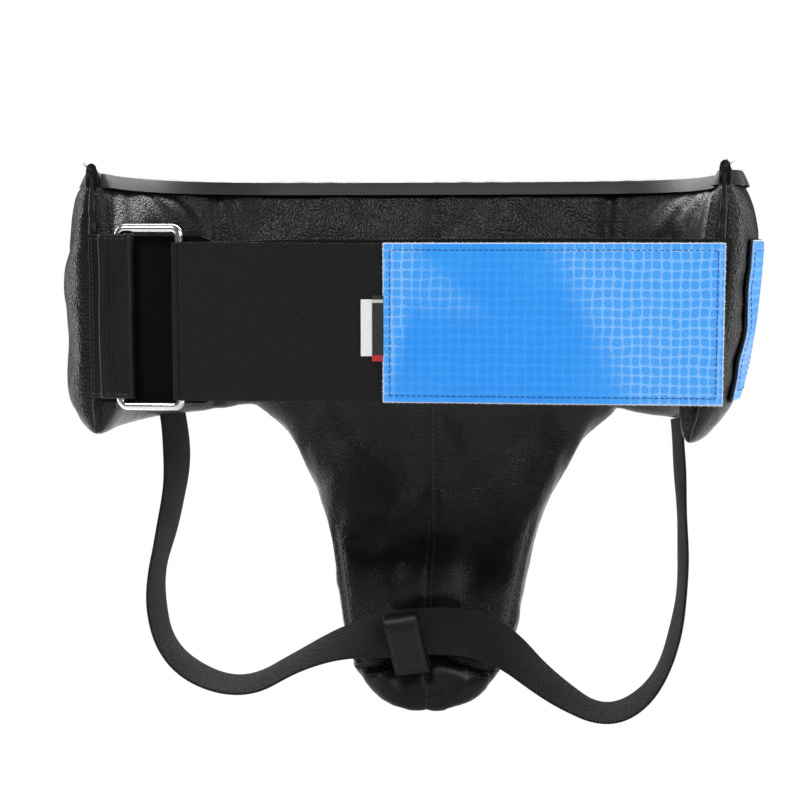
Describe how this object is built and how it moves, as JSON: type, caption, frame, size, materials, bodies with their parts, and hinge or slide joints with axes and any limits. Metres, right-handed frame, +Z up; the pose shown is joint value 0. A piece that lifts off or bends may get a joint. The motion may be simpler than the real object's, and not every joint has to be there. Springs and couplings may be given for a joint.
{
  "type": "groin protector",
  "caption": "Padded boxing groin guard: C-shaped waist belt, hanging cup, ring-and-patch closure and a hanging leg strap.",
  "frame": {"origin": "centre of the waist opening, at belt mid-height", "axes": "+X towards the wearer's right, +Y towards the wearer's front, +Z up"},
  "size_m": [0.4054, 0.2142, 0.3456],
  "materials": {
    "outer_leather": "pebbled black PU leather",
    "lining_leather": "soft black PU leather, smooth grain",
    "smooth_leather": "smooth matte black leather",
    "foam": "grey closed-cell foam",
    "hard_shell": "moulded polyethylene",
    "ring_steel": "nickel plated steel wire",
    "elastic": "black woven elastic webbing",
    "blue_patch": "blue embossed PU with light web lines",
    "hook_and_loop": "black nylon hook and loop",
    "white_tape": "white satin tape, blank",
    "woven_tape": "black damask tape with plain stripes"
  },
  "bodies": {
    "root": {"belt_cover": "outer_leather", "belt_lining": "lining_leather", "top_binding": "smooth_leather", "wing_pad_left": "foam", "wing_pad_right": "foam", "front_pad_left": "foam", "front_pad_right": "foam", "cup_cover": "outer_leather", "cup_lining": "lining_leather", "rim_pad_left": "foam", "rim_pad_right": "foam", "hard_cup": "hard_shell", "cup_foam": "foam", "cup_inner_foam": "foam", "tip_cap": "outer_leather", "inner_pad": "lining_leather", "ring_tab": "smooth_leather", "ring_guard": "smooth_leather", "strap_under": "elastic", "loop_pad": "hook_and_loop", "anchor_backing": "elastic", "anchor_patch": "blue_patch", "keeper_loop": "smooth_leather", "leg_strap": "elastic"},
    "ring": {"closure_ring": "ring_steel", "strap_turn": "elastic"},
    "flap": {"strap_over": "elastic", "hook_pad": "hook_and_loop", "closure_patch": "blue_patch", "size_tag": "white_tape", "woven_label": "woven_tape"}
  },
  "joints": [
    {"name": "ring_swivel", "type": "hinge", "parent": "root", "child": "ring", "pos_m": [-0.1636, -0.09, 0], "axis": [0, 0, -1], "range_deg": [0, 35]},
    {"name": "closure_peel", "type": "hinge", "parent": "ring", "child": "flap", "pos_m": [-0.1286, -0.09, 0], "axis": [0, 0, -1], "range_deg": [0, 150], "deforming": ["strap_turn"]}
  ]
}
